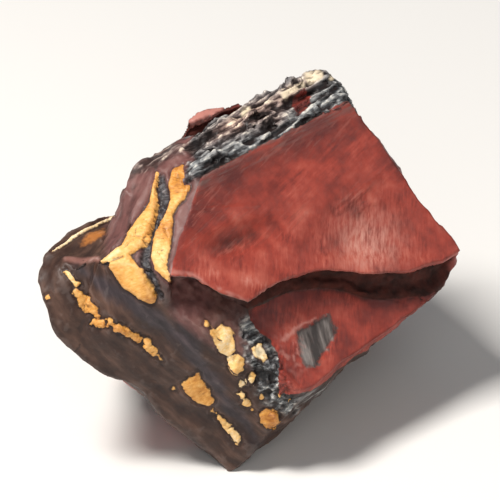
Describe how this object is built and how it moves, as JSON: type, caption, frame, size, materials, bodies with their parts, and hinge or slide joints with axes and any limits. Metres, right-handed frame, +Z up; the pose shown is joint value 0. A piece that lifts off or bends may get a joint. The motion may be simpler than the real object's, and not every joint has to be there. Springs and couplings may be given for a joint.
{
  "type": "rough tiger iron stone",
  "caption": "Rough broken chunk of banded ironstone with a smooth red jasper face, golden fibrous beds and dark hematite beds, resting on a flat break.",
  "frame": {"origin": "middle of the stone's bounding box, on the floor it rests on", "axes": "+Z up; -Y towards the front, where the red jasper face slopes down to; +X to the viewer's right"},
  "size_m": [0.0514, 0.0448, 0.04],
  "materials": {
    "stone": "natural broken stone: satin red jasper face, dull dark hematite beds and silky golden beds"
  },
  "bodies": {
    "root": {"stone": "stone"}
  },
  "joints": []
}
